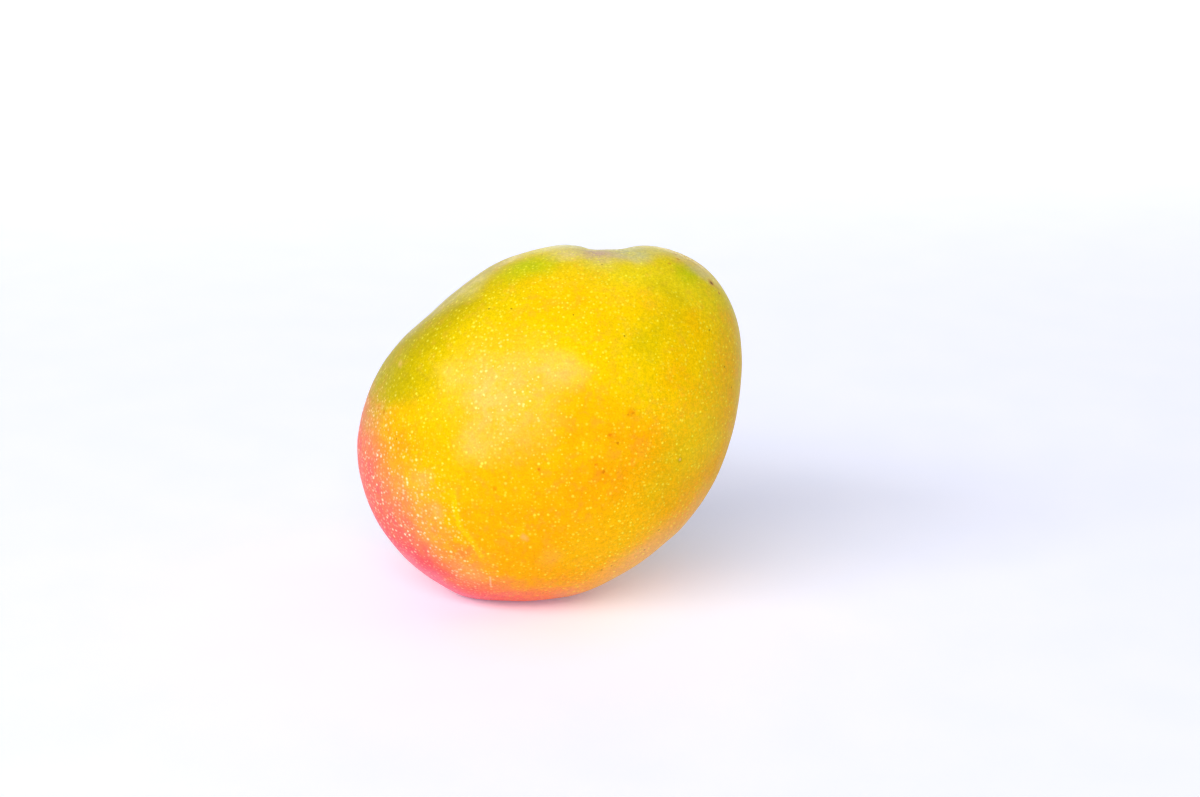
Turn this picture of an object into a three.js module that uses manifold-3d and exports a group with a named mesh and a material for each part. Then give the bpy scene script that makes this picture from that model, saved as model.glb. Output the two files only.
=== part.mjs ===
// A ripe mango, as picked, resting on a small flat spot on its underside. Its long axis rises
// towards +X, and its broad front face is turned to -Y and leans back a little.
// Millimetres, +Z up. The origin is under the middle of the fruit, at the level it rests on.
import * as THREE from 'three';
import { mergeVertices } from 'three/addons/utils/BufferGeometryUtils.js';
import Module from 'manifold-3d';

// The fruit's own frame: x runs along its length towards the stem end, y across its broad
// face, and z through its thickness towards the front.
const HALF_LENGTH = 56;
const HALF_WIDTH = 47.5;
const FRONT_HALF_DEPTH = 42.5;
const BACK_HALF_DEPTH = 41.5;
const OUTLINE_POWER = 1.94; // 2 is an ellipse; less gives leaner quarters
const DEPTH_POWER = 2.2; // over 2 gives flatter broad faces and a fuller edge

// Where the skin stands higher or lower than the plain body. "round" is the angle round the
// broad face from the long axis, "out" is the angle out of it towards the front, and "spread"
// is the angle at which the rise has fallen to about 0.6 of itself, all in degrees.
const SWELLINGS = [
  { part: 'stem end shoulder', round: 3, out: 3, spread: 20, rise: 7.5 },
  { part: 'belly', round: 317, out: -3, spread: 40, rise: 3.9 },
  { part: 'beak', round: 210, out: -3, spread: 8, rise: 1.9 },
  { part: 'heel under the beak', round: 240, out: 3, spread: 10, rise: 1.1 },
  { part: 'flattened tip', round: 182, out: 3, spread: 17, rise: -1.5 },
  { part: 'slope behind the stem', round: 92, out: 4, spread: 17, rise: -3.2 },
];

// The stem hollow: a saddle right through the thickness, with a rounder pit at its middle.
const STEM_ROUND = 31; // degrees round the broad face from the long axis
const SADDLE = { depth: 1.8, upperReach: 8, lowerReach: 9.5, throughReach: 24 }; // mm, degrees
const PIT = { depth: 3.8, reach: 7 };

// How it rests.
const LENGTH_RISE = 38.5; // degrees from level to the long axis
const LEAN_BACK = 12; // degrees from upright to the broad face
const FLAT_CUT = 2.1; // how much the underside is flattened

// What is left of the stem: a short woody stub, its end snapped off and slightly hollow.
const STUB_RADIUS = 2.4;
const STUB_COLLAR_RADIUS = 3.1;
const STUB_COLLAR_HEIGHT = 1.3; // above the floor of the pit, as the next one is
const STUB_HEIGHT = 1.8;
const STUB_BEVEL = 0.3;
const STUB_END_HOLLOW = 0.4;
const STUB_ROOT = 2; // how far the blank reaches below the pit's floor before it is cut
const JOINT_GAP = 0.3; // between the stub and the skin

const SKIN_AROUND = 72;
const SKIN_RINGS = 54;
const STUB_SIDES = 24;

const radians = THREE.MathUtils.degToRad;
const degrees = THREE.MathUtils.radToDeg;

// A direction from the middle of the fruit, in the fruit's own frame.
function faceDirection(round, out) {
  const level = Math.cos(radians(out));
  const along = Math.cos(radians(round)) * level;
  const across = Math.sin(radians(round)) * level;
  return new THREE.Vector3(along, across, Math.sin(radians(out)));
}

const STEM_AXIS = faceDirection(STEM_ROUND, 0);
const STEM_SIDE = faceDirection(STEM_ROUND + 90, 0);

// The fruit's frame as it rests.
function restingFrame() {
  const lean = radians(LEAN_BACK);
  const rise = radians(LENGTH_RISE);
  const upFace = new THREE.Vector3(0, Math.sin(lean), Math.cos(lean));
  const front = new THREE.Vector3(0, -Math.cos(lean), Math.sin(lean));
  const along = new THREE.Vector3(Math.cos(rise), 0, 0).addScaledVector(upFace, Math.sin(rise));
  const across = new THREE.Vector3().crossVectors(front, along);
  return new THREE.Matrix4().makeBasis(along, across, front);
}

// How far the skin is pressed in along the stem's axis.
function stemHollow(direction) {
  const ahead = direction.dot(STEM_AXIS);
  if (ahead <= 0) {
    return 0;
  }
  const side = degrees(Math.atan2(direction.dot(STEM_SIDE), ahead));
  const through = degrees(Math.atan2(direction.z, ahead));
  const sideReach = side > 0 ? SADDLE.upperReach : SADDLE.lowerReach;
  const saddle = Math.exp(-((side / sideReach) ** 2) - (through / SADDLE.throughReach) ** 2);
  const pit = Math.exp(-(side ** 2 + through ** 2) / PIT.reach ** 2);
  return SADDLE.depth * saddle + PIT.depth * pit;
}

// The point of the skin that lies in a direction from the middle, raised by "grow".
function skinPoint(direction, grow = 0) {
  const halfDepth = direction.z > 0 ? FRONT_HALF_DEPTH : BACK_HALF_DEPTH;
  const along = Math.abs(direction.x) / HALF_LENGTH;
  const across = Math.abs(direction.y) / HALF_WIDTH;
  const through = Math.abs(direction.z) / halfDepth;
  const round = along ** OUTLINE_POWER + across ** OUTLINE_POWER;
  const body = round ** (DEPTH_POWER / OUTLINE_POWER) + through ** DEPTH_POWER;
  let distance = body ** (-1 / DEPTH_POWER);
  for (const swelling of SWELLINGS) {
    const nearness = direction.dot(faceDirection(swelling.round, swelling.out)) - 1;
    distance += swelling.rise * Math.exp(nearness / radians(swelling.spread) ** 2);
  }
  const point = direction.clone().multiplyScalar(distance + grow);
  return point.addScaledVector(STEM_AXIS, -stemHollow(direction));
}

// The whole skin as it rests, before its underside is flattened, raised by "grow".
function skinGeometry(grow = 0) {
  const geometry = new THREE.SphereGeometry(1, SKIN_AROUND, SKIN_RINGS);
  const toStem = new THREE.Quaternion().setFromUnitVectors(THREE.Object3D.DEFAULT_UP, STEM_AXIS);
  geometry.applyQuaternion(toStem);
  const positions = geometry.getAttribute('position');
  const direction = new THREE.Vector3();
  for (let i = 0; i < positions.count; i += 1) {
    direction.fromBufferAttribute(positions, i).normalize();
    const point = skinPoint(direction, grow);
    positions.setXYZ(i, point.x, point.y, point.z);
  }
  return geometry.applyMatrix4(restingFrame());
}

// The uncut stub, round the stem's axis as the fruit rests, with its foot below the skin.
function stubGeometry() {
  const profile = [
    [0, -STUB_ROOT],
    [STUB_COLLAR_RADIUS, -STUB_ROOT],
    [STUB_COLLAR_RADIUS, STUB_COLLAR_HEIGHT - STUB_BEVEL],
    [STUB_RADIUS, STUB_COLLAR_HEIGHT],
    [STUB_RADIUS, STUB_HEIGHT - STUB_BEVEL],
    [STUB_RADIUS - STUB_BEVEL, STUB_HEIGHT],
    [0, STUB_HEIGHT - STUB_END_HOLLOW],
  ];
  const points = profile.map(([radius, height]) => new THREE.Vector2(radius, height));
  const geometry = new THREE.LatheGeometry(points, STUB_SIDES);
  const toStem = new THREE.Quaternion().setFromUnitVectors(THREE.Object3D.DEFAULT_UP, STEM_AXIS);
  geometry.applyQuaternion(toStem);
  const floor = skinPoint(STEM_AXIS);
  geometry.translate(floor.x, floor.y, floor.z);
  return geometry.applyMatrix4(restingFrame());
}

const wasm = await Module();
wasm.setup();

// A closed geometry as a solid that can be cut.
function solidOf(geometry) {
  const bare = geometry.clone();
  bare.deleteAttribute('normal');
  bare.deleteAttribute('uv');
  const merged = mergeVertices(bare);
  const corners = merged.getIndex().array;
  const triangles = [];
  for (let i = 0; i < corners.length; i += 3) {
    const [a, b, c] = corners.slice(i, i + 3);
    if (a !== b && b !== c && c !== a) {
      triangles.push(a, b, c);
    }
  }
  const vertProperties = new Float32Array(merged.getAttribute('position').array);
  const triVerts = new Uint32Array(triangles);
  return new wasm.Manifold(new wasm.Mesh({ numProp: 3, vertProperties, triVerts }));
}

function geometryOf(solid) {
  const mesh = solid.getMesh();
  const geometry = new THREE.BufferGeometry();
  geometry.setAttribute('position', new THREE.BufferAttribute(mesh.vertProperties, 3));
  geometry.setIndex(new THREE.BufferAttribute(mesh.triVerts, 1));
  geometry.computeVertexNormals();
  return geometry;
}

function fruit() {
  const skin = skinGeometry();
  skin.computeBoundingBox();
  const size = skin.boundingBox.getSize(new THREE.Vector3());
  const floor = new THREE.BoxGeometry(2 * size.x, 2 * size.y, size.z);
  floor.translate(0, 0, skin.boundingBox.min.z + FLAT_CUT - size.z / 2);
  const flattened = solidOf(skin).subtract(solidOf(floor));
  const material = new THREE.MeshStandardMaterial({
    color: 0xf5b311,
    roughness: 0.42,
    metalness: 0,
  });
  const mesh = new THREE.Mesh(geometryOf(flattened), material);
  mesh.name = 'fruit';
  return mesh;
}

function stemStub() {
  const stub = solidOf(stubGeometry()).subtract(solidOf(skinGeometry(JOINT_GAP)));
  const material = new THREE.MeshStandardMaterial({
    color: 0x6d4c33,
    roughness: 0.9,
    metalness: 0,
  });
  const mesh = new THREE.Mesh(geometryOf(stub), material);
  mesh.name = 'stem_stub';
  return mesh;
}

const mango = new THREE.Group();
mango.add(fruit(), stemStub());
const box = new THREE.Box3().setFromObject(mango);
const middle = box.getCenter(new THREE.Vector3());
mango.position.set(-middle.x, -middle.y, -box.min.z);

export default mango;
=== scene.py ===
import math

import bpy
import numpy as np
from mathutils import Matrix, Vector
from mathutils.bvhtree import BVHTree


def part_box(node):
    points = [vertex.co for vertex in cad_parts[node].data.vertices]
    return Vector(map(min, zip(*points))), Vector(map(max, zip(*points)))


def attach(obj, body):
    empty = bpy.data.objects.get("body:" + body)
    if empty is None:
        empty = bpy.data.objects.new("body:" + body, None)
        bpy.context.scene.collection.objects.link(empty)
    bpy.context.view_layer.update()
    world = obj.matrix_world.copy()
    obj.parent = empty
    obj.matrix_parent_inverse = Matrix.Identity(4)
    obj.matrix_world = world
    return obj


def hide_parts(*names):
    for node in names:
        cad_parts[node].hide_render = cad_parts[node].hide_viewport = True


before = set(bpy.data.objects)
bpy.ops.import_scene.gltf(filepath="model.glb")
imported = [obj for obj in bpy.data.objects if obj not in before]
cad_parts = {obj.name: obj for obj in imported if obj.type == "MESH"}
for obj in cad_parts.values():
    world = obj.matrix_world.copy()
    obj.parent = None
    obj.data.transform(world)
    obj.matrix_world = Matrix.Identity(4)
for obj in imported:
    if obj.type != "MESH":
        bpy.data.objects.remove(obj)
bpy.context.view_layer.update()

MM = 0.001  # one millimetre in metres

# ---------------------------------------------------------------------------------------------
# The fruit's shape, as the solid has it. Its own frame has x along its length towards the stem
# end, y across its broad face and z through its thickness towards the front.
HALF_LENGTH = 56.0
HALF_WIDTH = 47.5
FRONT_HALF_DEPTH = 42.5
BACK_HALF_DEPTH = 41.5
OUTLINE_POWER = 1.94
DEPTH_POWER = 2.2

# (degrees round the broad face from the long axis, degrees out of it to the front,
#  degrees of spread, millimetres of rise)
SWELLINGS = (
    (3, 3, 20, 7.5),  # stem end shoulder
    (317, -3, 40, 3.9),  # belly
    (210, -3, 8, 1.9),  # beak
    (240, 3, 10, 1.1),  # heel under the beak
    (182, 3, 17, -1.5),  # flattened tip
    (92, 4, 17, -3.2),  # slope behind the stem
)

# The stem hollow: a saddle across the stem end with a pit in it. Reaches are in degrees.
STEM_ROUND = 31.0  # degrees round the broad face
SADDLE_DEPTH = 1.8
SADDLE_UPPER_REACH = 8.0
SADDLE_LOWER_REACH = 9.5
SADDLE_THROUGH_REACH = 24.0
PIT_DEPTH = 3.8
PIT_REACH = 7.0

LENGTH_RISE = 38.5  # degrees from level to the long axis
LEAN_BACK = 12.0  # degrees from upright to the broad face
FLAT_RIM = 0.5  # how softly the skin turns into the flat spot

# ---------------------------------------------------------------------------------------------
# The camera. Picture points are in a frame of 1200 by 797 pixels.
PICTURE_WIDTH = 1200
PICTURE_HEIGHT = 797
LENS_MM = 70.0
SENSOR_MM = 36.0
CAMERA_RISE = 16.0  # degrees above level
MM_PER_PIXEL = 0.2888  # at the middle of the fruit
FRUIT_MIDDLE_PX = (539.4, 423.4)
CLIP_START = 0.01  # metres
CLIP_END = 50.0


def unit(vectors):
    return vectors / np.linalg.norm(vectors, axis=-1, keepdims=True)


def face_direction(around, out):
    """A direction in the fruit's own frame, from degrees round the broad face and out of it."""
    level = math.cos(math.radians(out))
    along = math.cos(math.radians(around)) * level
    across = math.sin(math.radians(around)) * level
    return np.array((along, across, math.sin(math.radians(out))))


def resting_frame():
    """The fruit's three axes as it rests, one to a row."""
    lean, rise = math.radians(LEAN_BACK), math.radians(LENGTH_RISE)
    right = np.array((1.0, 0.0, 0.0))
    up_face = np.array((0.0, math.sin(lean), math.cos(lean)))
    front = np.array((0.0, -math.cos(lean), math.sin(lean)))
    along = math.cos(rise) * right + math.sin(rise) * up_face
    across = np.cross(front, along)
    return np.array((along, across, front))


STEM_AXIS = face_direction(STEM_ROUND, 0)
STEM_SIDE = face_direction(STEM_ROUND + 90, 0)
FRONT_AXIS = np.array((0.0, 0.0, 1.0))
AXES = resting_frame()


def stem_angles(directions):
    """How far ahead along the stem's axis, and degrees from it sideways and through."""
    ahead = directions @ STEM_AXIS
    side = np.degrees(np.arctan2(directions @ STEM_SIDE, ahead))
    through = np.degrees(np.arctan2(directions[..., 2], ahead))
    return ahead, side, through


def stem_hollow(directions):
    """How far the skin is pushed in along the stem's axis."""
    ahead, side, through = stem_angles(directions)
    reach = np.where(side > 0, SADDLE_UPPER_REACH, SADDLE_LOWER_REACH)
    saddle = np.exp(-((side / reach) ** 2) - (through / SADDLE_THROUGH_REACH) ** 2)
    pit = np.exp(-(side**2 + through**2) / PIT_REACH**2)
    return np.where(ahead > 0, SADDLE_DEPTH * saddle + PIT_DEPTH * pit, 0.0)


def skin_points(directions, relief=0.0):
    """Points of the skin in the fruit's own frame, raised by relief."""
    half_depth = np.where(directions[..., 2] > 0, FRONT_HALF_DEPTH, BACK_HALF_DEPTH)
    along = np.abs(directions[..., 0]) / HALF_LENGTH
    across = np.abs(directions[..., 1]) / HALF_WIDTH
    through = np.abs(directions[..., 2]) / half_depth
    outline = along**OUTLINE_POWER + across**OUTLINE_POWER
    body = outline ** (DEPTH_POWER / OUTLINE_POWER) + through**DEPTH_POWER
    distance = body ** (-1 / DEPTH_POWER)
    for around, out, spread, rise in SWELLINGS:
        nearness = directions @ face_direction(around, out) - 1
        distance = distance + rise * np.exp(nearness / math.radians(spread) ** 2)
    points = directions * (distance + relief)[..., None]
    return points - stem_hollow(directions)[..., None] * STEM_AXIS


# ---------------------------------------------------------------------------------------------
# Small relief that only the finer skin has.
TYPICAL_RADIUS = 50.0
RIPPLE_WAVES = 28
# (wavelength, height) in millimetres
RIPPLES = ((34.0, 0.16), (15.0, 0.06), (7.0, 0.018))
# Shallow dents: round, out, spread in degrees, and depth in millimetres.
DENTS = (
    (20, 38, 9, 0.45),
    (352, 20, 6, 0.35),
    (150, 34, 11, 0.4),
    (262, 40, 10, 0.35),
    (70, -40, 10, 0.45),
    (300, -46, 12, 0.4),
    (190, -52, 9, 0.35),
)
FURROWS = 7  # round the stem
FURROW_HEIGHT = 0.16
FURROW_FROM = 9.0  # degrees from the stem's axis
FURROW_SPREAD = 4.0
FURROW_UNEVENNESS = 1.3
STYLE_SCAR = (213, -15)  # where the flower's style was: round, out
STYLE_SCAR_SPREAD = 1.3
STYLE_SCAR_HEIGHT = 0.35


def ripples(directions, wavelength, height, seed):
    """An uneven field of crossing waves, the same every run."""
    random = np.random.default_rng(seed)
    headings = unit(random.normal(size=(RIPPLE_WAVES, 3)))
    phases = random.uniform(0, 2 * math.pi, RIPPLE_WAVES)
    turns = 2 * math.pi * TYPICAL_RADIUS / wavelength
    waves = np.sin(turns * directions @ headings.T + phases).sum(axis=-1)
    return height * math.sqrt(2 / RIPPLE_WAVES) * waves


def skin_relief(directions):
    """How far the finer skin stands out of the solid's, by ripples, dents, furrows and scar."""
    relief = np.zeros(directions.shape[:-1])
    for seed, (wavelength, height) in enumerate(RIPPLES):
        relief += ripples(directions, wavelength, height, seed)
    for around, out, spread, depth in DENTS:
        nearness = directions @ face_direction(around, out) - 1
        relief -= depth * np.exp(nearness / math.radians(spread) ** 2)
    ahead, side, through = stem_angles(directions)
    away = np.hypot(side, through)
    turn = np.arctan2(through, side)
    ring = np.exp(-(((away - FURROW_FROM) / FURROW_SPREAD) ** 2))
    furrow = np.cos(FURROWS * turn + FURROW_UNEVENNESS * np.sin(turn)) * ring
    relief += np.where(ahead > 0, FURROW_HEIGHT * furrow, 0.0)
    nearness = directions @ face_direction(*STYLE_SCAR) - 1
    relief += STYLE_SCAR_HEIGHT * np.exp(nearness / math.radians(STYLE_SCAR_SPREAD) ** 2)
    return relief


# ---------------------------------------------------------------------------------------------
# The skin's mesh: a sphere of six square patches, the first of them round the stem.
PATCH_CELLS = 126
MAP_NAME = "OFBake"
MAP_COLUMNS = 3
MAP_ROWS = 2
MAP_MARGIN = 0.012  # of a patch's side on the map
SAME_DIGITS = 7  # corners of two patches that agree this far are one
# Each patch's outward and rightward axis, by stem axis, stem side and front.
PATCHES = (
    ((1, 0, 0), (0, 1, 0)),
    ((-1, 0, 0), (0, 0, 1)),
    ((0, 1, 0), (0, 0, 1)),
    ((0, -1, 0), (1, 0, 0)),
    ((0, 0, 1), (1, 0, 0)),
    ((0, 0, -1), (0, 1, 0)),
)


def patch_sphere():
    """Directions of the corners, quads of corner numbers, and the quads' map places."""
    steps = np.linspace(-1, 1, PATCH_CELLS + 1)
    slopes = np.tan(steps * math.pi / 4)
    shares = MAP_MARGIN + (steps + 1) / 2 * (1 - 2 * MAP_MARGIN)
    stem_frame = np.array((STEM_AXIS, STEM_SIDE, FRONT_AXIS))
    i, j = np.meshgrid(np.arange(PATCH_CELLS), np.arange(PATCH_CELLS), indexing="ij")
    side = PATCH_CELLS + 1
    loops = np.stack((i * side + j, (i + 1) * side + j, (i + 1) * side + j + 1, i * side + j + 1))
    loops = loops.reshape(4, -1).T
    corners, quads, places = [], [], []
    for number, (out, right) in enumerate(PATCHES):
        out, right = np.array(out, float), np.array(right, float)
        up = np.cross(out, right)
        grid = out + slopes[:, None, None] * right + slopes[None, :, None] * up
        corners.append(unit(grid.reshape(-1, 3)) @ stem_frame)
        quads.append(loops + number * side**2)
        column, row = number % MAP_COLUMNS, number // MAP_COLUMNS
        across = (column + shares[:, None] + 0 * shares) / MAP_COLUMNS
        down = (row + shares + 0 * shares[:, None]) / MAP_ROWS
        places.append(np.stack((across, down), axis=-1).reshape(-1, 2)[loops])
    corners, quads, places = map(np.concatenate, (corners, quads, places))
    _, first, same = np.unique(
        np.round(corners, SAME_DIGITS), axis=0, return_index=True, return_inverse=True
    )
    return corners[first], same.reshape(-1)[quads], places.reshape(-1, 2)


def find_rest_offset(directions):
    """What moves the resting fruit onto the solid: its box has the same middle and top."""
    low, high = (np.array(corner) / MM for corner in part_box("fruit"))
    turned = skin_points(directions) @ AXES
    offset = (turned.max(axis=0) + turned.min(axis=0)) / 2 - (high + low) / 2
    offset[2] = turned[:, 2].max() - high[2]
    return offset


skin_directions, skin_quads, map_places = patch_sphere()
REST_OFFSET = find_rest_offset(skin_directions)


def placed(points):
    """Points of the fruit's own frame, turned and lowered to where the solid rests."""
    return points @ AXES - REST_OFFSET


def mesh_object(name, points, faces):
    """A smooth-shaded object from points in millimetres."""
    mesh = bpy.data.meshes.new(name)
    mesh.from_pydata((points * MM).tolist(), [], [list(map(int, face)) for face in faces])
    mesh.validate()
    mesh.shade_smooth()
    made = bpy.data.objects.new(name, mesh)
    bpy.context.scene.collection.objects.link(made)
    return made


def make_skin():
    points = placed(skin_points(skin_directions, skin_relief(skin_directions)))
    height = points[:, 2]
    points[:, 2] = (height + np.sqrt(height**2 + FLAT_RIM**2)) / 2
    skin = mesh_object("mango_skin", points, skin_quads)
    layer = skin.data.uv_layers.new(name=MAP_NAME)
    layer.data.foreach_set("uv", map_places.ravel())
    return skin


skin = make_skin()

# ---------------------------------------------------------------------------------------------
# Where things are seen from the camera.
camera_rise = math.radians(CAMERA_RISE)
LOOK = Vector((0, math.cos(camera_rise), -math.sin(camera_rise)))
RIGHT = Vector((1, 0, 0))
UP = Vector((0, math.sin(camera_rise), math.cos(camera_rise)))
FOCAL_PX = PICTURE_WIDTH * LENS_MM / SENSOR_MM
MIDDLE = Vector(-REST_OFFSET * MM)


def camera_place():
    """The camera's place, from where in the picture the middle of the fruit is seen."""
    pixel = MM_PER_PIXEL * MM
    right = (FRUIT_MIDDLE_PX[0] - PICTURE_WIDTH / 2) * pixel
    up = (PICTURE_HEIGHT / 2 - FRUIT_MIDDLE_PX[1]) * pixel
    return MIDDLE - RIGHT * right - UP * up - LOOK * FOCAL_PX * pixel


CAMERA_PLACE = camera_place()
skin_tree = BVHTree.FromPolygons(
    [corner.co for corner in skin.data.vertices],
    [face.vertices for face in skin.data.polygons],
)


def seen_at(picture_x, picture_y):
    """The point of the skin, in millimetres, that the camera sees at a point of the picture."""
    right = (picture_x - PICTURE_WIDTH / 2) / FOCAL_PX
    up = (PICTURE_HEIGHT / 2 - picture_y) / FOCAL_PX
    ray = (LOOK + RIGHT * right + UP * up).normalized()
    place = skin_tree.ray_cast(CAMERA_PLACE, ray)[0]
    if place is None:
        raise ValueError(f"the camera sees no skin at {picture_x}, {picture_y}")
    return place / MM


camera_data = bpy.data.cameras.new("camera")
camera_data.lens = LENS_MM
camera_data.sensor_width = SENSOR_MM
camera_data.dof.use_dof = False
camera_data.clip_start = CLIP_START
camera_data.clip_end = CLIP_END
camera = bpy.data.objects.new("camera", camera_data)
camera.location = CAMERA_PLACE
camera.rotation_euler = (math.pi / 2 - camera_rise, 0, 0)
bpy.context.scene.collection.objects.link(camera)
bpy.context.scene.camera = camera

# ---------------------------------------------------------------------------------------------
# The stub of the stem, by (radius, height above the floor of the pit), from its foot in the
# flesh up to its snapped, hollow end.
STUB_PROFILE = (
    (0.0, -0.9),
    (1.6, -0.9),
    (2.5, -0.85),
    (2.85, -0.4),
    (3.0, 0.2),
    (3.1, 0.7),
    (3.06, 1.0),
    (2.85, 1.2),
    (2.56, 1.3),
    (2.42, 1.4),
    (2.38, 1.55),
    (2.3, 1.7),
    (2.1, 1.78),
    (1.85, 1.72),
    (1.5, 1.56),
    (0.9, 1.45),
    (0.0, 1.4),
)
STUB_SIDES = 96
STUB_STEPS = 5  # between one profile point and the next
STUB_RIBS = 11
STUB_RIB_DEPTH = 0.025  # as a share of the radius
STUB_RIB_UNEVENNESS = 1.5
STUB_ROUGHNESS = 0.05  # how far it moves a point at most
STUB_SMOOTH_CORE = 1.0  # the radius inside which roughness moves no point sideways
STUB_SEED = 5


def stub_rings():
    """The profile with evenly spread points added between its own."""
    profile = np.array(STUB_PROFILE)
    steps = np.arange(len(profile))
    fine = np.linspace(0, len(profile) - 1, STUB_STEPS * (len(profile) - 1) + 1)
    return np.stack([np.interp(fine, steps, profile[:, part]) for part in (0, 1)], axis=-1)


def make_stub():
    rings = stub_rings()[1:-1]
    turn = np.linspace(0, 2 * math.pi, STUB_SIDES, endpoint=False)
    round_stub = np.stack((np.cos(turn), np.sin(turn)), axis=-1)
    ribs = np.cos(STUB_RIBS * turn + STUB_RIB_UNEVENNESS * np.sin(2 * turn))
    random = np.random.default_rng(STUB_SEED)
    rough = STUB_ROUGHNESS * random.uniform(-1, 1, (len(rings), STUB_SIDES))
    radius = rings[:, :1] * (1 + STUB_RIB_DEPTH * ribs)
    radius += rough * (rings[:, :1] > STUB_SMOOTH_CORE)
    height = rings[:, 1:] + rough
    floor = skin_points(STEM_AXIS[None])[0]
    points = (
        floor
        + (radius * round_stub[:, 0])[..., None] * STEM_SIDE
        + (radius * round_stub[:, 1])[..., None] * FRONT_AXIS
        + height[..., None] * STEM_AXIS
    ).reshape(-1, 3)
    foot = floor + STUB_PROFILE[0][1] * STEM_AXIS
    end = floor + STUB_PROFILE[-1][1] * STEM_AXIS
    points = np.concatenate((points, (foot, end)))
    faces = []
    last_ring = (len(rings) - 1) * STUB_SIDES
    for side in range(STUB_SIDES):
        following = (side + 1) % STUB_SIDES
        faces.append((len(points) - 2, following, side))
        faces.append((len(points) - 1, last_ring + side, last_ring + following))
        for ring in range(0, last_ring, STUB_SIDES):
            lower, upper = ring + side, ring + STUB_SIDES + side
            faces.append((lower, ring + following, ring + STUB_SIDES + following, upper))
    return mesh_object("stem_stub_wood", placed(points), faces)


stub = make_stub()

# ---------------------------------------------------------------------------------------------
# Materials.
NOISE_SHIFT = (7.3, 3.1, 5.7)  # from one seed to the next
NOISE_MIDDLE = (0.5, 0.5, 0.5)
NOISE_LOW, NOISE_HIGH = 0.3, 0.7  # most of a noise lies between them


def srgb(red, green, blue):
    """The colour a shader takes, from the three numbers a picture shows."""

    def linear(share):
        return share / 12.92 if share <= 0.04045 else ((share + 0.055) / 1.055) ** 2.4

    return (*(linear(part / 255) for part in (red, green, blue)), 1.0)


class Finish:
    """A material, with short ways to add nodes. A value is a number, a colour or a socket."""

    def __init__(self, name):
        self.material = bpy.data.materials.new(name)
        self.material.use_nodes = True
        self.tree = self.material.node_tree
        self.tree.nodes.clear()
        self.place = self.vector("SCALE", self.add("TexCoord").outputs["Object"], scale=1 / MM)

    def add(self, kind, values=(), **settings):
        node = self.tree.nodes.new("ShaderNode" + kind)
        for name, setting in settings.items():
            setattr(node, name, setting)
        for key, value in dict(values).items():
            self.feed(node.inputs[key], value)
        return node

    def feed(self, socket, value):
        if isinstance(value, bpy.types.NodeSocket):
            self.tree.links.new(value, socket)
        else:
            socket.default_value = value

    def math(self, operation, *values):
        return self.add("Math", enumerate(values), operation=operation).outputs[0]

    def times(self, first, second):
        return self.math("MULTIPLY", first, second)

    def plus(self, first, second):
        return self.math("ADD", first, second)

    def either(self, first, second):
        """The larger of two shares."""
        return self.math("MAXIMUM", first, second)

    def vector(self, operation, *values, scale=None):
        node = self.add("VectorMath", enumerate(values), operation=operation)
        if scale is not None:
            self.feed(node.inputs["Scale"], scale)
        return node.outputs["Value" if operation in ("DOT_PRODUCT", "DISTANCE") else 0]

    def ramp(self, value, start, end, low=0.0, high=1.0):
        """From low to high as the value goes from start to end, smoothly."""
        node = self.add("MapRange", {0: value, 3: low, 4: high}, interpolation_type="SMOOTHSTEP")
        if start > end:
            start, end = end, start
            self.feed(node.inputs[3], high)
            self.feed(node.inputs[4], low)
        self.feed(node.inputs[1], start)
        self.feed(node.inputs[2], end)
        return node.outputs[0]

    def mix(self, share, first, second):
        node = self.add("Mix", {0: share, 6: first, 7: second}, data_type="RGBA")
        return node.outputs[2]

    def noise(self, size, seed, detail, roughness, colour=False):
        """Noise from about 0 to 1, its features of a size in millimetres."""
        shift = tuple(seed * part for part in NOISE_SHIFT)
        at = self.vector("MULTIPLY_ADD", self.place, (1 / size,) * 3, shift)
        values = {"Vector": at, "Scale": 1.0, "Detail": detail, "Roughness": roughness}
        return self.add("TexNoise", values).outputs["Color" if colour else "Fac"]

    def uneven(self, noise, low, high):
        """From low to high as a noise does."""
        return self.ramp(noise, NOISE_LOW, NOISE_HIGH, low, high)

    def wandering(self, noise, reach):
        """The place, moved by up to about half of reach."""
        moved = self.vector("SUBTRACT", self.noise(*noise, colour=True), NOISE_MIDDLE)
        return self.vector("ADD", self.place, self.vector("SCALE", moved, scale=reach))

    def surface(self, colour, roughness, bump, **sockets):
        """Join the shader up. The other sockets are the same all over."""
        shader = self.add("BsdfPrincipled")
        self.feed(shader.inputs["Base Color"], colour)
        self.feed(shader.inputs["Roughness"], roughness)
        self.feed(shader.inputs["Normal"], bump)
        for name, value in sockets.items():
            self.feed(shader.inputs[name.replace("_", " ")], value)
        output = self.add("OutputMaterial")
        self.tree.links.new(shader.outputs[0], output.inputs["Surface"])
        return self.material

    def bump(self, height):
        """A bump from a height in millimetres."""
        return self.add("Bump", {"Height": height, "Distance": MM, "Strength": 1.0}).outputs[0]


# The skin's colours.
YELLOW = srgb(247, 199, 2)
GOLD = srgb(246, 181, 2)
ORANGE = srgb(246, 166, 2)
OLIVE = srgb(180, 163, 3)
PALE_OLIVE = srgb(216, 196, 4)
TOP_OLIVE = srgb(230, 212, 24)
GREEN = srgb(158, 168, 4)
LIME = srgb(196, 204, 4)
CORAL = srgb(243, 106, 92)
RED_CORAL = srgb(236, 66, 86)
# Partly painted reflection: the pale rose of the skin's edge low on the left.
ROSE_WAX_AND_SHEEN = srgb(250, 168, 190)
PEACH = srgb(240, 185, 110)
SAGE = srgb(206, 204, 150)
ROSE_GREY = srgb(206, 178, 166)
LIP_PINK = srgb(216, 150, 160)
# Partly the skin's waxy coat, partly painted reflection of the pale room along its edges.
WAX_AND_SHEEN = srgb(232, 224, 136)
CREAM = srgb(236, 214, 150)
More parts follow.
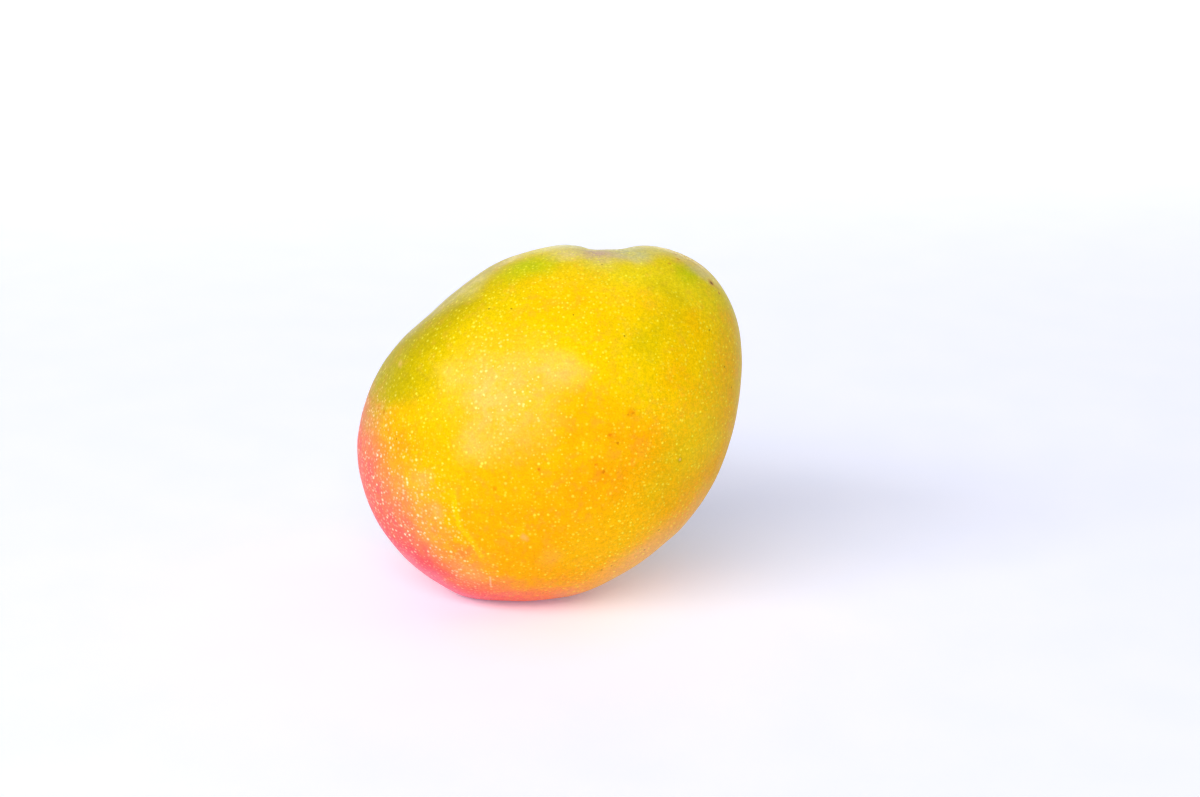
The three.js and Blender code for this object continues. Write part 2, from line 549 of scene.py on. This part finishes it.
# Painted highlight: the pale cream of the key light's soft gloss on the skin.
HIGHLIGHT_CREAM = srgb(250, 205, 124)
BLUSH_PATCH = srgb(246, 166, 110)
DOT_YELLOW = srgb(255, 250, 76)
DOT_CREAM = srgb(255, 228, 186)
AMBER = srgb(232, 122, 2)
BROWN = srgb(184, 90, 4)
TAN = srgb(206, 128, 40)
SCAR = srgb(112, 56, 10)
DARK = srgb(84, 60, 20)

# The stub's colours and finish.
STUB_WOOD = srgb(150, 108, 92)
STUB_DARK = srgb(92, 60, 56)
STUB_ROSE = srgb(164, 112, 118)
WOOD_DARKS = (0.35, 0.65)  # the noise at which dark turns into wood
WOOD_ROSES = (0.4, 0.7, 0.0, 0.6)  # the noise where rose starts and is full, and its shares
WOOD_ROUGHNESS = (0.75, 0.92)
WOOD_GRAIN_HEIGHT = 0.16

# Noises: the size of their features in millimetres, seed, detail and roughness.
WANDER = (16, 1, 3, 0.55)
WANDER_REACH = 11.0  # millimetres
JITTER = (0.8, 6, 2, 0.5)
JITTER_REACH = 0.5
CLOUDS = (13, 2, 4, 0.55)
FLECKS = (3.2, 3, 3, 0.6)
GRAIN = (1.1, 4, 2, 0.6)
SPECKLE = (0.5, 7, 1, 0.5)
GLOSS_CLOUDS = (9, 8, 3, 0.5)
PORES = (0.9, 9, 2, 0.5)
DIMPLES = (4.5, 10, 3, 0.5)
WOOD_STREAKS = (0.35, 11, 4, 0.65)
WOOD_PATCHES = (1.6, 12, 3, 0.5)
FLOOR_GRAIN = (30, 20, 3, 0.5)

# How clouds and flecks vary a colour's share: the noise at which it starts to change and at
# which it stops, and the share at those two.
GREEN_CLOUDS = (0.38, 0.66, 0.0, 0.75)
BLUSH_FLECKS = (0.35, 0.7, -0.08, 0.08)  # added to it
DEEP_BLUSH_CLOUDS = (0.25, 0.6, 0.6, 1.0)
WAX_AND_SHEEN_CLOUDS = (0.25, 0.6, 0.5, 1.0)
HIGHLIGHT_FLECKS = (0.3, 0.6, 0.08, 0.26)
PATCH_FLECKS = (0.3, 0.6, 0.55, 1.0)
SPECKLE_SHADES = (0.7, 1.3, 0.9, 1.1)  # the brightness, by grain and speckle together
ORANGE_UNEVENNESS = (0.26, 0.16, 0.14)  # what clouds, flecks and grain add or take at most

# Bands across the fruit: the way they run, as shares of right, up and back from the camera, the
# millimetres from the fruit's middle where a band starts and where it is full, and its shares of
# the colour at those two places.
ORANGE_BELOW = ((0, 1, 0), 26, -16, 0.0, 0.95)
PALE_OLIVE_RIGHT = ((0.97, -0.1, 0), 42, 56, 0.0, 0.4)
# Partly the skin's olive, partly painted shade darkening the upper left.
PALE_OLIVE_AND_SHADE_LEFT = ((-0.8, 0.6, 0), 16, 32, 0.0, 0.7)
OLIVE_TOP = ((0.3, 0.95, 0), 36, 50, 0.0, 0.8)
# Partly the skin's olive, partly painted shade darkening the upper left.
OLIVE_AND_SHADE_LEFT = ((-0.8, 0.6, 0), 27, 43, 0.0, 1.0)
OLIVE_BACK = ((0, 0, 1), 10, 40, 0.0, 0.75)
GREEN_BACK = ((0, 0, 1), 2, 30, 0.0, 1.0)
BLUSH_WAY = (-0.87, -0.5, 0.1)
BLUSH_BEAK = (BLUSH_WAY, 27, 49, 0.0, 1.0)
BLUSH_BELOW = ((-0.2, -0.95, 0.2), 34, 48, 0.0, 1.0)
BLUSH_BELOW_SHARE = 0.9
BLUSH_FADING_RIGHT = ((1, 0, 0), 32, -8, 0.0, 1.0)
BLUSH_DEEPEST = ((-0.6, -0.78, 0.15), 39, 54, 0.0, 1.0)
# Partly painted reflection: rosy bands at the edge towards the beak and below.
ROSY_SHEEN_BEAK = ((-0.78, -0.62, 0), 50, 56, 0.0, 0.32)
ROSY_SHEEN_BELOW = ((-0.46, -0.89, 0), 49.5, 54, 0.0, 0.32)
# Partly painted reflection: pale bands along the edges, low on the right and along the top and
# upper left.
PEACH_SHEEN_BELOW = ((0.6, -0.8, 0), 40, 52, 0.0, 0.8)
WAX_AND_SHEEN_TOP = ((0.05, 1.0, 0), 48, 51.5, 0.0, 0.5)
WAX_AND_SHEEN_LEFT = ((-0.75, 0.66, 0), 43, 51, 0.0, 0.45)

# Bands of the dots in the same way: where they turn larger and creamier, which share of them is
# missing and how clear the rest are.
DOTS_BEAKWARDS = ((-0.78, -0.62, 0), -25, 35, 0.0, 1.0)
DOTS_CREAMY = (BLUSH_WAY, 22, 42, 0.0, 1.0)
DOTS_MISSING = ((-0.5, 0.87, 0), 8, 24, 0.42, 0.32)
DOTS_MISSING_IN_BLUSH = (BLUSH_WAY, 16, 34, 0.42, 0.0)
DOTS_CLEAR_TOP = ((0, 1, 0), 10, 26, 0.46, 0.72)
DOTS_FAINTER_RIGHT = ((1, 0, 0), 16, 30, 1.0, 0.7)
DOTS_CLEAR_LOW_RIGHT = ((0.9, -0.44, 0), 22, 34, 0.48, 0.76)
DOTS_CLEAR_IN_BLUSH = (BLUSH_WAY, 22, 40, 0.46, 1.0)

# Two sizes of dot: the millimetres from one to the next and their radius, and the seed.
FINE_DOTS = (1.08, 0.44, 1)
COARSE_DOTS = (1.3, 0.56, 2)
DOT_SHIFT = (3.7, 1.9, 4.3)  # from one seed to the next
DOT_RANDOMNESS = 0.85
SMALLEST_DOT, LARGEST_DOT = 0.6, 1.1  # shares of the radius
DOT_CORE = 0.3  # the share of a dot that is at its brightest
FAINTEST_DOT = 0.25
FAINT_DOTS_POWER = 1.6  # above 1, most dots are faint
BRIGHTEST_CHANCE = 0.9  # the chance from which a dot is at its brightest
# How bright the two kinds are on the way to the beak: from where to where it changes, and the
# brightness at those two.
FINE_DOTS_BEAKWARDS = (0.3, 1.0, 1.0, 0.55)
COARSE_DOTS_BEAKWARDS = (0.0, 0.7, 0.6, 1.0)
# How clear dots stay in the deepest blush, in the olive and underneath.
DOTS_LEFT = (0.55, 0.7, 0.7)

# The skin's finest relief, by height in millimetres, and its gloss.
PORE_HEIGHT = 0.035
DIMPLE_HEIGHT = 0.08
DOT_HEIGHT = 0.012
GLOSS_TINT = (1.0, 0.85, 0.1, 1.0)
SKIN_ROUGHNESS = (0.34, 0.46)  # from the smoothest places to the roughest

# Patches: the point of the picture where the skin is seen, the radius in millimetres where the
# patch is full and where it ends, and how strong it is.
# Partly the skin's own deeper gold, partly painted shade where the key light falls strongest.
GOLD_SHADE_PATCH = (452, 400, 8, 36, 0.85)
# A painted highlight round the key light's gloss, and the dots there painted creamier and clearer
# as glints.
GLOSS_PAINTED_HIGHLIGHT = (505, 392, 4, 22, 1.0)
GLINT_DOTS_CREAMY = (505, 392, 6, 26, 0.4)
GLINT_DOTS_CLEAR = (505, 392, 4, 22, 0.95)

# Soft patches, in the same way and with their colour.
SOFT_PATCHES = (
    (532, 265, 1.5, 10.0, 0.8, LIME),
    (512, 271, 0.5, 8.0, 0.6, LIME),
    (550, 262, 0.5, 8.0, 0.4, LIME),
    (684, 274, 0.5, 7.0, 0.8, LIME),
    (662, 288, 1.0, 9.0, 0.4, PALE_OLIVE),
    (668, 318, 1.0, 9.0, 0.5, PALE_OLIVE),
    (648, 338, 0.5, 7.0, 0.3, PALE_OLIVE),
    # Partly painted shade: darker olive patches on the upper left.
    (398, 386, 2.0, 11.0, 0.5, OLIVE),
    (420, 384, 2.0, 10.0, 0.5, OLIVE),
    (403, 434, 2.0, 13.0, 0.7, ORANGE),
    (436, 424, 1.0, 9.0, 0.4, GOLD),
    (640, 520, 4.0, 17.0, 0.5, YELLOW),
    (690, 350, 4.0, 18.0, 0.25, PALE_OLIVE),
    (640, 374, 3.0, 16.0, 0.4, PALE_OLIVE),
    (634, 332, 2.0, 13.0, 0.4, PALE_OLIVE),
    (465, 553, 1.0, 8.0, 0.35, AMBER),
    (390, 448, 2.0, 14.0, 0.35, AMBER),
    (600, 545, 4.0, 18.0, 0.45, YELLOW),
    # Painted highlight: pale cream patches round the key light's gloss.
    (486, 396, 1.0, 9.0, 0.25, HIGHLIGHT_CREAM),
    (563, 371, 2.0, 10.0, 0.28, HIGHLIGHT_CREAM),
    (473, 441, 1.0, 9.0, 0.25, HIGHLIGHT_CREAM),
    (450, 374, 1.0, 7.0, 0.15, HIGHLIGHT_CREAM),
    # Partly painted reflection: waxy pale patch along the top edge.
    (602, 262, 1.0, 7.0, 0.35, WAX_AND_SHEEN),
    (630, 252, 2.0, 9.0, 0.7, SAGE),
    (571, 253, 1.0, 8.0, 0.7, CREAM),
    (603, 254, 1.0, 8.0, 0.6, ROSE_GREY),
    (600, 253, 0.5, 5.0, 0.4, LIP_PINK),
    (690, 262, 2.0, 9.0, 0.5, PEACH),
    (694, 270, 0.5, 5.5, 0.55, SAGE),
    (668, 478, 3.0, 15.0, 0.45, PALE_OLIVE),
    (702, 436, 4.0, 18.0, 0.5, TOP_OLIVE),
    (676, 442, 2.0, 10.0, 0.25, PALE_OLIVE),
    (728, 418, 1.0, 10.0, 0.45, ORANGE),
    (718, 458, 1.0, 9.0, 0.3, ORANGE),
    (732, 366, 1.0, 10.0, 0.6, GOLD),
    (728, 324, 1.0, 10.0, 0.5, GOLD),
    (638, 341, 1.0, 6.0, 0.3, OLIVE),
    (656, 331, 0.5, 5.0, 0.25, OLIVE),
    (674, 296, 1.0, 6.0, 0.3, OLIVE),
    (654, 283, 0.5, 6.0, 0.25, OLIVE),
    (677, 316, 0.5, 5.0, 0.2, OLIVE),
    (704, 338, 2.0, 11.0, 0.5, YELLOW),
    (690, 325, 1.0, 6.0, 0.4, GOLD),
    (672, 370, 1.0, 6.0, 0.3, GOLD),
    (436, 510, 0.5, 4.0, 0.4, BLUSH_PATCH),
    (472, 562, 1.0, 9.0, 0.25, CORAL),
    (420, 478, 0.5, 4.5, 0.3, BLUSH_PATCH),
    (524, 534, 0.3, 2.2, 0.5, BLUSH_PATCH),
    (532, 540, 0.3, 2.0, 0.3, BLUSH_PATCH),
    (552, 556, 0.5, 6.0, 0.15, BLUSH_PATCH),
    (470, 575, 0.5, 8.0, 0.35, BLUSH_PATCH),
    (614, 436, 0.3, 5.5, 0.3, AMBER),
    (600, 468, 0.3, 5.0, 0.3, AMBER),
    (401, 362, 0.3, 2.0, 0.45, PEACH),
    (560, 300, 1.0, 9.0, 0.3, YELLOW),
    (508, 340, 2.0, 9.0, 0.5, YELLOW),
    (572, 592, 1.0, 9.0, 0.25, CORAL),
    (508, 342, 2.0, 9.0, 0.3, GOLD),
    (566, 594, 1.0, 8.0, 0.2, ROSE_GREY),
    # Partly painted reflection: waxy pale patches along the top edge.
    (681, 257, 1.0, 6.0, 0.55, WAX_AND_SHEEN),
    (702, 271, 0.5, 6.0, 0.35, WAX_AND_SHEEN),
    (470, 290, 1.0, 9.0, 0.35, WAX_AND_SHEEN),
)

# Rings round the stem's foot: the radius in millimetres where one is full and where it ends, how
# strong it is, and its colour.
STEM_RINGS = (
    (6, 21, 0.75, SAGE),
    (4, 9, 0.7, ROSE_GREY),
    (3, 5, 0.6, STUB_ROSE),
)

# Small marks, in the same way as the soft patches.
SMALL_MARKS = (
    (631, 413, 0.2, 1.9, 0.4, AMBER),
    (633, 413, 0.1, 0.6, 0.4, BROWN),
    (628, 415, 0.1, 0.5, 0.35, BROWN),
    (618, 443, 0.1, 0.7, 0.6, BROWN),
    (609.6, 435, 0.1, 0.8, 0.6, AMBER),
    (596, 465, 0.1, 0.8, 0.6, AMBER),
    (603.6, 472, 0.1, 0.7, 0.55, BROWN),
    (538.8, 469.6, 0.1, 0.8, 0.6, BROWN),
    (495, 488.7, 0.15, 1.0, 0.6, AMBER),
    (711.5, 283, 0.6, 2.0, 0.55, TAN),
    (711.5, 283, 0.2, 0.9, 0.85, SCAR),
    (719, 293, 0.2, 0.7, 0.7, BROWN),
    (675, 254, 0.2, 0.9, 0.6, TAN),
    (678, 259, 0.2, 0.9, 0.6, TAN),
    (669.5, 263.5, 0.2, 0.8, 0.5, TAN),
    (379, 408, 0.2, 1.2, 0.5, TAN),
    (384, 412, 0.2, 0.9, 0.5, BROWN),
    (680, 459.6, 0.4, 1.3, 0.5, OLIVE),
    (680, 459.6, 0.1, 0.6, 0.8, PEACH),
)

BLACK_SPECKS = (
    (547, 248.5), (533, 253), (542, 255), (602, 264.5), (489, 308.7), (511.4, 308.5),
    (573.5, 315), (624.5, 336), (709.3, 330), (724.5, 367), (731.3, 387.5), (396.5, 439),
    (543, 593), (611.6, 566), (601.6, 570), (644.4, 550), (659, 530),
)

# Specks and lines have a radius and a soft edge round it in millimetres, and a share.
SPECK_SIZE = (0.05, 0.36)
SPECK_SHARE = 0.7
YELLOW_STREAK = ((453, 492), (455, 510), (460, 527), (470.5, 539), (481, 556))
STREAK_SIZE = (0.3, 1.1)
STREAK_SHARE = 0.6
PALE_SCRATCH = ((490.2, 577), (490.8, 587))
SCRATCH_SIZE = (0.05, 0.35)
SCRATCH_SHARE = 0.4
LINE_STEPS = 20  # marks that a line is made of


def skin_finish():
    """Yellow ripening to orange, blushed where the sun reached it, freckled with pale dots."""
    skin = Finish("mango_skin")
    # The place, wandering a few millimetres, so that no colour ends on a smooth line.
    loose = skin.wandering(WANDER, WANDER_REACH)
    close = skin.wandering(JITTER, JITTER_REACH)
    offset = skin.vector("SUBTRACT", loose, tuple(MIDDLE / MM))

    def band(way, start, full, low, high):
        """From low to high as a place goes from start to full along the way."""
        direction = (RIGHT * way[0] + UP * way[1] + LOOK * way[2]).normalized()
        reached = skin.vector("DOT_PRODUCT", offset, tuple(direction))
        return skin.ramp(reached, start, full, low, high)

    def near(picture_x, picture_y, inner, outer, share, place=loose):
        """Its share within inner millimetres of the skin seen at a point, 0 beyond outer."""
        away = skin.vector("DISTANCE", place, tuple(seen_at(picture_x, picture_y)))
        return skin.ramp(away, inner, outer, share, 0.0)

    def marks(places, radius, edge):
        """1 on small round marks at points of the picture."""
        nearest = None
        for picture_x, picture_y in places:
            away = skin.vector("DISTANCE", close, tuple(seen_at(picture_x, picture_y)))
            nearest = away if nearest is None else skin.math("MINIMUM", nearest, away)
        return skin.ramp(nearest, radius, radius + edge, 1.0, 0.0)

    def line(corners, radius, edge):
        """1 along a line that joins points of the picture."""
        steps = np.linspace(0, len(corners) - 1, LINE_STEPS)
        parts = [np.interp(steps, range(len(corners)), part) for part in zip(*corners)]
        return marks(zip(*parts), radius, edge)

    cloud = skin.noise(*CLOUDS)
    fleck = skin.noise(*FLECKS)
    grain = skin.noise(*GRAIN)

    # Yellow above, orange below, unevenly.
    orange = band(*ORANGE_BELOW)
    for noise, amount in zip((cloud, fleck, grain), ORANGE_UNEVENNESS):
        orange = skin.plus(orange, skin.uneven(noise, -amount, amount))
    colour = skin.mix(orange, YELLOW, ORANGE)
    # Deeper gold on the left of the front: partly the skin's own colour, partly painted shade
    # that evens out the key light.
    colour = skin.mix(near(*GOLD_SHADE_PATCH), colour, GOLD)

    # Olive along the top, the right edge and the upper left, and in clouds on the far side; on
    # the upper left it is partly painted shade.
    pale_olive_and_shade = skin.either(band(*PALE_OLIVE_RIGHT), band(*PALE_OLIVE_AND_SHADE_LEFT))
    colour = skin.mix(pale_olive_and_shade, colour, PALE_OLIVE)
    colour = skin.mix(band(*OLIVE_TOP), colour, TOP_OLIVE)
    olive_and_shade = skin.either(band(*OLIVE_AND_SHADE_LEFT), band(*OLIVE_BACK))
    colour = skin.mix(olive_and_shade, colour, OLIVE)
    green = skin.times(band(*GREEN_BACK), skin.ramp(cloud, *GREEN_CLOUDS))
    colour = skin.mix(green, colour, GREEN)

    # The blush: coral towards the beak, redder low down, fading into orange along the bottom,
    # and a rosy, waxy edge that is partly painted reflection of the pale room.
    under = skin.times(band(*BLUSH_BELOW), band(*BLUSH_FADING_RIGHT))
    blush = skin.either(band(*BLUSH_BEAK), skin.times(under, BLUSH_BELOW_SHARE))
    blush = skin.plus(blush, skin.ramp(fleck, *BLUSH_FLECKS))
    colour = skin.mix(blush, colour, CORAL)
    deep = skin.times(band(*BLUSH_DEEPEST), skin.ramp(cloud, *DEEP_BLUSH_CLOUDS))
    colour = skin.mix(deep, colour, RED_CORAL)
    rosy = skin.either(band(*ROSY_SHEEN_BEAK), band(*ROSY_SHEEN_BELOW))
    colour = skin.mix(rosy, colour, ROSE_WAX_AND_SHEEN)

    # Partly painted reflection: pale peach low on the right and a waxy sheen along the top and
    # upper left.
    colour = skin.mix(band(*PEACH_SHEEN_BELOW), colour, PEACH)
    wax_and_sheen = skin.either(band(*WAX_AND_SHEEN_TOP), band(*WAX_AND_SHEEN_LEFT))
    wax_and_sheen = skin.times(wax_and_sheen, skin.ramp(cloud, *WAX_AND_SHEEN_CLOUDS))
    colour = skin.mix(wax_and_sheen, colour, WAX_AND_SHEEN)
    # Painted highlight: pale cream over the front where the key light's gloss falls.
    painted_highlight = skin.times(near(*GLOSS_PAINTED_HIGHLIGHT), skin.ramp(fleck, *HIGHLIGHT_FLECKS))
    colour = skin.mix(painted_highlight, colour, HIGHLIGHT_CREAM)

    # The soft patches, flecked.
    patchiness = skin.ramp(fleck, *PATCH_FLECKS)
    for picture_x, picture_y, inner, outer, share, tint in SOFT_PATCHES:
        patch = skin.times(near(picture_x, picture_y, inner, outer, share), patchiness)
        colour = skin.mix(patch, colour, tint)

    # Paler and greyer in the hollow of the stem.
    stem_foot = tuple(placed(skin_points(STEM_AXIS[None]))[0])
    from_stem = skin.vector("DISTANCE", loose, stem_foot)
    for inner, outer, share, tint in STEM_RINGS:
        colour = skin.mix(skin.ramp(from_stem, inner, outer, share, 0.0), colour, tint)

    # A yellow streak low on the left.
    streak = skin.times(line(YELLOW_STREAK, *STREAK_SIZE), STREAK_SHARE)
    colour = skin.mix(streak, colour, YELLOW)

    # Pale dots, small and close near the stem, larger and creamier towards the beak.
    missing = skin.math("MINIMUM", band(*DOTS_MISSING), band(*DOTS_MISSING_IN_BLUSH))

    def dots(cell, radius, seed):
        """How bright round dots are, one to a cell, some missing and each of its own size."""
        shift = tuple(seed * part for part in DOT_SHIFT)
        at = skin.vector("MULTIPLY_ADD", skin.place, (1 / cell,) * 3, shift)
        values = {"Vector": at, "Scale": 1.0, "Randomness": DOT_RANDOMNESS}
        cells = skin.add("TexVoronoi", values).outputs
        chance = skin.add("SeparateColor", {0: cells["Color"]}).outputs
        small, large = SMALLEST_DOT * radius / cell, LARGEST_DOT * radius / cell
        reach = skin.ramp(chance[0], 0, 1, small, large)
        outwards = skin.math("DIVIDE", cells["Distance"], reach)
        bright = skin.math("POWER", chance[1], FAINT_DOTS_POWER)
        bright = skin.ramp(bright, 0.0, BRIGHTEST_CHANCE, FAINTEST_DOT, 1.0)
        bright = skin.times(bright, skin.math("GREATER_THAN", chance[2], missing))
        return skin.times(skin.ramp(outwards, DOT_CORE, 1.0, 1.0, 0.0), bright)

    beakwards = band(*DOTS_BEAKWARDS)
    fine = skin.times(dots(*FINE_DOTS), skin.ramp(beakwards, *FINE_DOTS_BEAKWARDS))
    coarse = skin.times(dots(*COARSE_DOTS), skin.ramp(beakwards, *COARSE_DOTS_BEAKWARDS))
    freckle = skin.either(fine, coarse)
    # Round the key light's gloss the dots are painted creamier and clearer, as painted glints.
    creamy = skin.either(band(*DOTS_CREAMY), near(*GLINT_DOTS_CREAMY))
    clearness = skin.times(band(*DOTS_CLEAR_TOP), band(*DOTS_FAINTER_RIGHT))
    clearness = skin.either(clearness, band(*DOTS_CLEAR_LOW_RIGHT))
    clearness = skin.either(clearness, near(*GLINT_DOTS_CLEAR))
    clearness = skin.either(clearness, band(*DOTS_CLEAR_IN_BLUSH))
    for share, left in zip((deep, olive_and_shade, under), DOTS_LEFT):
        clearness = skin.times(clearness, skin.ramp(share, 0, 1, 1.0, left))
    freckled = skin.times(freckle, clearness)
    colour = skin.mix(freckled, colour, skin.mix(creamy, DOT_YELLOW, DOT_CREAM))

    # Small marks, a scratch, specks, and a fine unevenness everywhere.
    for picture_x, picture_y, inner, outer, share, tint in SMALL_MARKS:
        colour = skin.mix(near(picture_x, picture_y, inner, outer, share, close), colour, tint)
    scratch = skin.times(line(PALE_SCRATCH, *SCRATCH_SIZE), SCRATCH_SHARE)
    colour = skin.mix(scratch, colour, DOT_CREAM)
    specks = skin.times(marks(BLACK_SPECKS, *SPECK_SIZE), SPECK_SHARE)
    colour = skin.mix(specks, colour, DARK)
    speckle = skin.plus(grain, skin.noise(*SPECKLE))
    shade = skin.ramp(speckle, *SPECKLE_SHADES)
    colour = skin.add("HueSaturation", {"Color": colour, "Value": shade}).outputs[0]

    roughness = skin.uneven(skin.noise(*GLOSS_CLOUDS), *SKIN_ROUGHNESS)
    height = skin.times(skin.noise(*PORES), PORE_HEIGHT)
    height = skin.plus(height, skin.times(skin.noise(*DIMPLES), DIMPLE_HEIGHT))
    height = skin.plus(height, skin.times(freckle, DOT_HEIGHT))
    return skin.surface(
        colour,
        roughness,
        skin.bump(height),
        Specular_IOR_Level=0.03,
        Specular_Tint=GLOSS_TINT,
        Coat_Weight=0.06,
        Coat_Roughness=0.22,
        Coat_IOR=1.4,
    )


def stub_finish():
    """Dry stem wood: brown, streaked finely, a little rosy in patches."""
    wood = Finish("mango_stem_wood")
    streaks = wood.noise(*WOOD_STREAKS)
    patches = wood.noise(*WOOD_PATCHES)
    colour = wood.mix(wood.ramp(streaks, *WOOD_DARKS), STUB_DARK, STUB_WOOD)
    colour = wood.mix(wood.ramp(patches, *WOOD_ROSES), colour, STUB_ROSE)
    roughness = wood.uneven(patches, *WOOD_ROUGHNESS)
    bump = wood.bump(wood.times(streaks, WOOD_GRAIN_HEIGHT))
    return wood.surface(colour, roughness, bump, Specular_IOR_Level=0.3)


skin.data.materials.append(skin_finish())
stub.data.materials.append(stub_finish())
for piece, node, slot in ((skin, "fruit", "skin"), (stub, "stem_stub", "stem")):
    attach(piece, "root")
    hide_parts(node)

# ---------------------------------------------------------------------------------------------
# The floor and the light.
FLOOR_HALF_SIDE = 2.4  # metres
FLOOR_COLOUR = srgb(246, 248, 253)
FLOOR_MOTTLE = srgb(243, 246, 252)
FLOOR_GLOW_COLOUR = (0.92, 0.94, 1.3, 1.0)
FLOOR_GLOW = 0.17
FLOOR_ROUGHNESS = 0.7
FLOOR_GRAIN_HEIGHT = 0.02  # millimetres
WORLD_COLOUR = (0.94, 0.94, 1.14, 1.0)
HORIZON_STRENGTH = 1.03
HORIZON_FULL = 0.12  # the sine of the angle above level up to which the horizon is bright
HORIZON_END = 0.2  # and where it has faded
OVERHEAD_STRENGTH = 0.54
FRUIT_AIM = (0.0, 0.0, 0.05)
# (name, place, what it faces, width, height, power) in metres and watts
SOFTBOXES = (
    ("key", (-0.95, -1.785, 1.52), FRUIT_AIM, 3.5, 0.9, 69.0),
    ("rim", (0.1, 2.0, 0.3), FRUIT_AIM, 1.8, 0.15, 4.5),
    ("backlight", (0.0, 1.75, 0.6), (0.0, 1.76, 0.0), 4.6, 1.7, 27.0),
)


def make_floor():
    side = FLOOR_HALF_SIDE
    mesh = bpy.data.meshes.new("floor")
    corners = [(-side, -side, 0), (side, -side, 0), (side, side, 0), (-side, side, 0)]
    mesh.from_pydata(corners, [], [(0, 1, 2, 3)])
    floor = bpy.data.objects.new("floor", mesh)
    bpy.context.scene.collection.objects.link(floor)
    paper = Finish("floor")
    grain = paper.noise(*FLOOR_GRAIN)
    colour = paper.mix(paper.uneven(grain, 0.0, 1.0), FLOOR_COLOUR, FLOOR_MOTTLE)
    bump = paper.bump(paper.times(grain, FLOOR_GRAIN_HEIGHT))
    finish = paper.surface(
        colour,
        FLOOR_ROUGHNESS,
        bump,
        Specular_IOR_Level=0.2,
        Emission_Color=FLOOR_GLOW_COLOUR,
        Emission_Strength=FLOOR_GLOW,
    )
    mesh.materials.append(finish)


def softbox(name, place, aim, width, height, power):
    light = bpy.data.lights.new(name, "AREA")
    light.shape = "RECTANGLE"
    light.size = width
    light.size_y = height
    light.energy = power
    holder = bpy.data.objects.new(name, light)
    holder.visible_camera = False
    holder.location = place
    holder.rotation_euler = (Vector(aim) - Vector(place)).to_track_quat("-Z", "Y").to_euler()
    bpy.context.scene.collection.objects.link(holder)


def make_world():
    """A pale room: white low down all round, dimmer above that and paler again overhead."""
    world = bpy.data.worlds.new("studio")
    world.use_nodes = True
    tree = world.node_tree
    background = tree.nodes["Background"]
    background.inputs["Color"].default_value = WORLD_COLOUR
    towards = tree.nodes.new("ShaderNodeTexCoord")
    parts = tree.nodes.new("ShaderNodeSeparateXYZ")
    tree.links.new(towards.outputs["Generated"], parts.inputs[0])
    horizon = tree.nodes.new("ShaderNodeMapRange")
    horizon.interpolation_type = "SMOOTHSTEP"
    values = (HORIZON_FULL, HORIZON_END, HORIZON_STRENGTH, 0.0)
    for number, value in enumerate(values, start=1):
        horizon.inputs[number].default_value = value
    tree.links.new(parts.outputs["Z"], horizon.inputs[0])
    squared = tree.nodes.new("ShaderNodeMath")
    squared.operation = "MULTIPLY"
    tree.links.new(parts.outputs["Z"], squared.inputs[0])
    tree.links.new(parts.outputs["Z"], squared.inputs[1])
    strength = tree.nodes.new("ShaderNodeMath")
    strength.operation = "MULTIPLY_ADD"
    strength.inputs[1].default_value = OVERHEAD_STRENGTH
    tree.links.new(squared.outputs[0], strength.inputs[0])
    tree.links.new(horizon.outputs[0], strength.inputs[2])
    tree.links.new(strength.outputs[0], background.inputs["Strength"])
    bpy.context.scene.world = world


make_floor()
make_world()
for box in SOFTBOXES:
    softbox(*box)
bpy.context.scene.view_settings.view_transform = "Standard"
